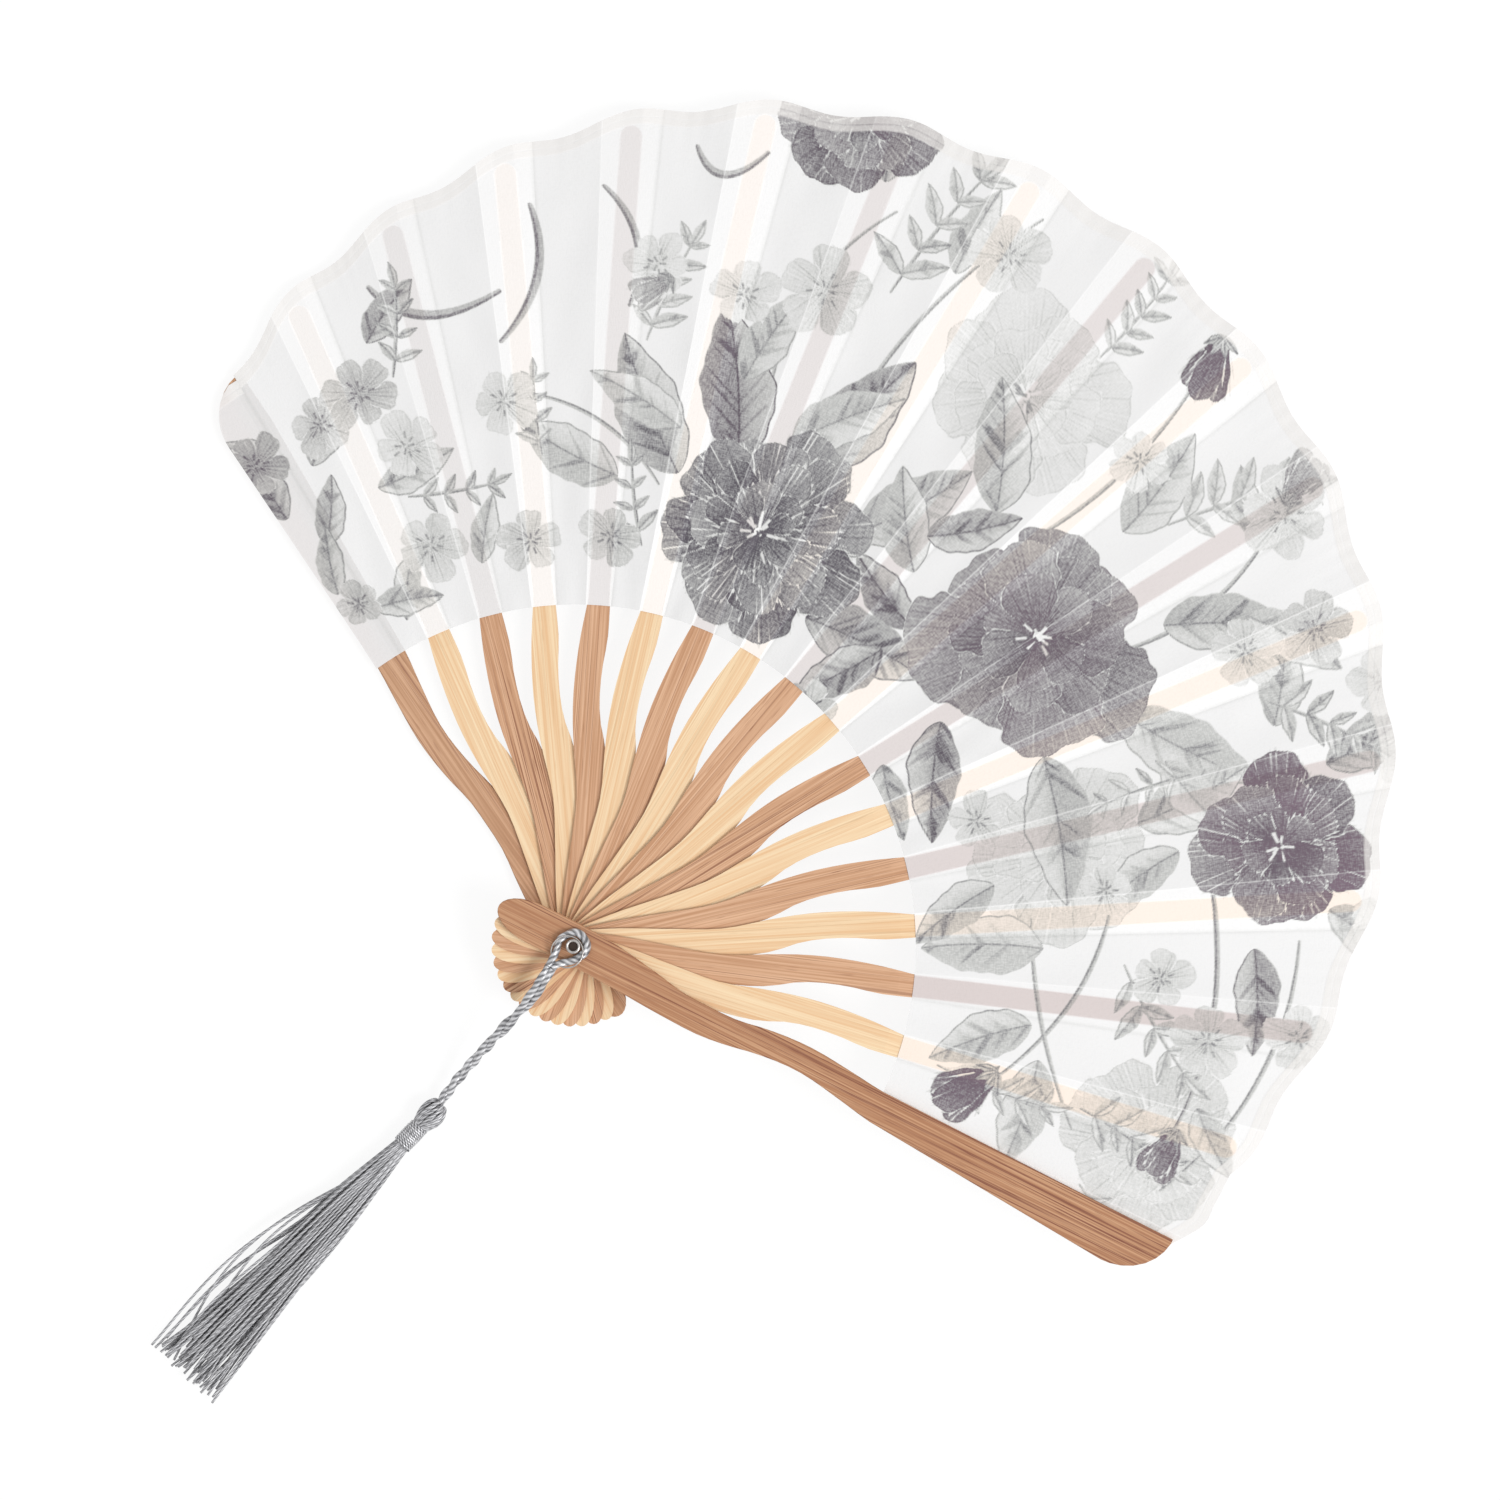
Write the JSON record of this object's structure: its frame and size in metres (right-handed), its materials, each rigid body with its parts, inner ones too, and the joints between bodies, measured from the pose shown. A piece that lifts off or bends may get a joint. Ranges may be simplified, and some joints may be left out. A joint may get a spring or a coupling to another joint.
{
  "type": "folding fan",
  "caption": "Pleated folding hand fan, opened: bamboo ribs and guards on a pivot rivet, a scalloped cloth leaf, and a cord tassel at the rivet.",
  "frame": {"origin": "on the pivot axis, at the flat rear face of the rivet's head, which is the lowest point", "axes": "+Z along the pivot axis towards the front guard, +Y from the pivot through the middle of the opened leaf, +X towards the front guard's side"},
  "size_m": [0.3639, 0.4183, 0.0225],
  "materials": {
    "dark_bamboo": "carbonised bamboo, satin, with fine dark grain",
    "light_bamboo": "natural bamboo, satin",
    "printed_satin": "thin white satin with a grey floral print",
    "grey_thread": "shiny grey rayon thread",
    "nickel_steel": "nickel-plated, bright"
  },
  "bodies": {
    "front_guard": {"guard_front": "dark_bamboo", "leaf_pleat_17": "printed_satin", "leaf_fold_16": "printed_satin"},
    "stick_16": {"rib_16": "light_bamboo", "leaf_pleat_16": "printed_satin", "leaf_fold_15": "printed_satin", "pivot_rivet": "nickel_steel"},
    "stick_15": {"rib_15": "dark_bamboo", "leaf_pleat_15": "printed_satin", "leaf_fold_14": "printed_satin"},
    "stick_14": {"rib_14": "light_bamboo", "leaf_pleat_14": "printed_satin", "leaf_fold_13": "printed_satin"},
    "stick_13": {"rib_13": "dark_bamboo", "leaf_pleat_13": "printed_satin", "leaf_fold_12": "printed_satin"},
    "stick_12": {"rib_12": "light_bamboo", "leaf_pleat_12": "printed_satin", "leaf_fold_11": "printed_satin"},
    "stick_11": {"rib_11": "dark_bamboo", "leaf_pleat_11": "printed_satin", "leaf_fold_10": "printed_satin"},
    "stick_10": {"rib_10": "light_bamboo", "leaf_pleat_10": "printed_satin", "leaf_fold_09": "printed_satin"},
    "stick_09": {"rib_09": "dark_bamboo", "leaf_pleat_09": "printed_satin", "leaf_fold_08": "printed_satin"},
    "stick_08": {"rib_08": "light_bamboo", "leaf_pleat_08": "printed_satin", "leaf_fold_07": "printed_satin"},
    "stick_07": {"rib_07": "dark_bamboo", "leaf_pleat_07": "printed_satin", "leaf_fold_06": "printed_satin"},
    "stick_06": {"rib_06": "light_bamboo", "leaf_pleat_06": "printed_satin", "leaf_fold_05": "printed_satin"},
    "stick_05": {"rib_05": "dark_bamboo", "leaf_pleat_05": "printed_satin", "leaf_fold_04": "printed_satin"},
    "stick_04": {"rib_04": "light_bamboo", "leaf_pleat_04": "printed_satin", "leaf_fold_03": "printed_satin"},
    "stick_03": {"rib_03": "dark_bamboo", "leaf_pleat_03": "printed_satin", "leaf_fold_02": "printed_satin"},
    "stick_02": {"rib_02": "light_bamboo", "leaf_pleat_02": "printed_satin", "leaf_fold_01": "printed_satin"},
    "back_guard": {"guard_back": "dark_bamboo", "leaf_pleat_01": "printed_satin"},
    "tassel": {"wire_ring": "nickel_steel", "cord_noose": "grey_thread", "tassel_cord": "grey_thread", "tassel_head": "grey_thread", "tassel_binding": "grey_thread", "tassel_skirt": "grey_thread"}
  },
  "joints": [
    {"name": "fan_fold", "type": "hinge", "parent": "front_guard", "child": "stick_16", "pos_m": [0, 0, 0], "axis": [0, 0, 1], "range_deg": [-10.58, 0], "deforming": ["leaf_fold_16"]},
    {"name": "fold_15", "type": "hinge", "parent": "stick_16", "child": "stick_15", "pos_m": [0, 0, 0], "axis": [0, 0, 1], "range_deg": [-10.36, 0], "deforming": ["leaf_fold_15"]},
    {"name": "fold_14", "type": "hinge", "parent": "stick_15", "child": "stick_14", "pos_m": [0, 0, 0], "axis": [0, 0, 1], "range_deg": [-10.06, 0], "deforming": ["leaf_fold_14"]},
    {"name": "fold_13", "type": "hinge", "parent": "stick_14", "child": "stick_13", "pos_m": [0, 0, 0], "axis": [0, 0, 1], "range_deg": [-9.75, 0], "deforming": ["leaf_fold_13"]},
    {"name": "fold_12", "type": "hinge", "parent": "stick_13", "child": "stick_12", "pos_m": [0, 0, 0], "axis": [0, 0, 1], "range_deg": [-9.47, 0], "deforming": ["leaf_fold_12"]},
    {"name": "fold_11", "type": "hinge", "parent": "stick_12", "child": "stick_11", "pos_m": [0, 0, 0], "axis": [0, 0, 1], "range_deg": [-9.26, 0], "deforming": ["leaf_fold_11"]},
    {"name": "fold_10", "type": "hinge", "parent": "stick_11", "child": "stick_10", "pos_m": [0, 0, 0], "axis": [0, 0, 1], "range_deg": [-9.1, 0], "deforming": ["leaf_fold_10"]},
    {"name": "fold_09", "type": "hinge", "parent": "stick_10", "child": "stick_09", "pos_m": [0, 0, 0], "axis": [0, 0, 1], "range_deg": [-9.02, 0], "deforming": ["leaf_fold_09"]},
    {"name": "fold_08", "type": "hinge", "parent": "stick_09", "child": "stick_08", "pos_m": [0, 0, 0], "axis": [0, 0, 1], "range_deg": [-8.99, 0], "deforming": ["leaf_fold_08"]},
    {"name": "fold_07", "type": "hinge", "parent": "stick_08", "child": "stick_07", "pos_m": [0, 0, 0], "axis": [0, 0, 1], "range_deg": [-9, 0], "deforming": ["leaf_fold_07"]},
    {"name": "fold_06", "type": "hinge", "parent": "stick_07", "child": "stick_06", "pos_m": [0, 0, 0], "axis": [0, 0, 1], "range_deg": [-9.04, 0], "deforming": ["leaf_fold_06"]},
    {"name": "fold_05", "type": "hinge", "parent": "stick_06", "child": "stick_05", "pos_m": [0, 0, 0], "axis": [0, 0, 1], "range_deg": [-9.09, 0], "deforming": ["leaf_fold_05"]},
    {"name": "fold_04", "type": "hinge", "parent": "stick_05", "child": "stick_04", "pos_m": [0, 0, 0], "axis": [0, 0, 1], "range_deg": [-9.16, 0], "deforming": ["leaf_fold_04"]},
    {"name": "fold_03", "type": "hinge", "parent": "stick_04", "child": "stick_03", "pos_m": [0, 0, 0], "axis": [0, 0, 1], "range_deg": [-9.24, 0], "deforming": ["leaf_fold_03"]},
    {"name": "fold_02", "type": "hinge", "parent": "stick_03", "child": "stick_02", "pos_m": [0, 0, 0], "axis": [0, 0, 1], "range_deg": [-9.31, 0], "deforming": ["leaf_fold_02"]},
    {"name": "fold_01", "type": "hinge", "parent": "stick_02", "child": "back_guard", "pos_m": [0, 0, 0], "axis": [0, 0, 1], "range_deg": [-9.39, 0], "deforming": ["leaf_fold_01"]},
    {"name": "tassel_swing", "type": "hinge", "parent": "front_guard", "child": "tassel", "pos_m": [0, 0, 0], "axis": [0, 0, 1], "range_deg": [-25, 25]}
  ],
  "couplings": [
    {"joint": "fold_15", "follows": "fan_fold", "ratio": 0.97916},
    {"joint": "fold_14", "follows": "fan_fold", "ratio": 0.95111},
    {"joint": "fold_13", "follows": "fan_fold", "ratio": 0.92185},
    {"joint": "fold_12", "follows": "fan_fold", "ratio": 0.89571},
    {"joint": "fold_11", "follows": "fan_fold", "ratio": 0.87511},
    {"joint": "fold_10", "follows": "fan_fold", "ratio": 0.86087},
    {"joint": "fold_09", "follows": "fan_fold", "ratio": 0.85272},
    {"joint": "fold_08", "follows": "fan_fold", "ratio": 0.84972},
    {"joint": "fold_07", "follows": "fan_fold", "ratio": 0.85066},
    {"joint": "fold_06", "follows": "fan_fold", "ratio": 0.85436},
    {"joint": "fold_05", "follows": "fan_fold", "ratio": 0.85982},
    {"joint": "fold_04", "follows": "fan_fold", "ratio": 0.86628},
    {"joint": "fold_03", "follows": "fan_fold", "ratio": 0.87323},
    {"joint": "fold_02", "follows": "fan_fold", "ratio": 0.88037},
    {"joint": "fold_01", "follows": "fan_fold", "ratio": 0.88757}
  ]
}
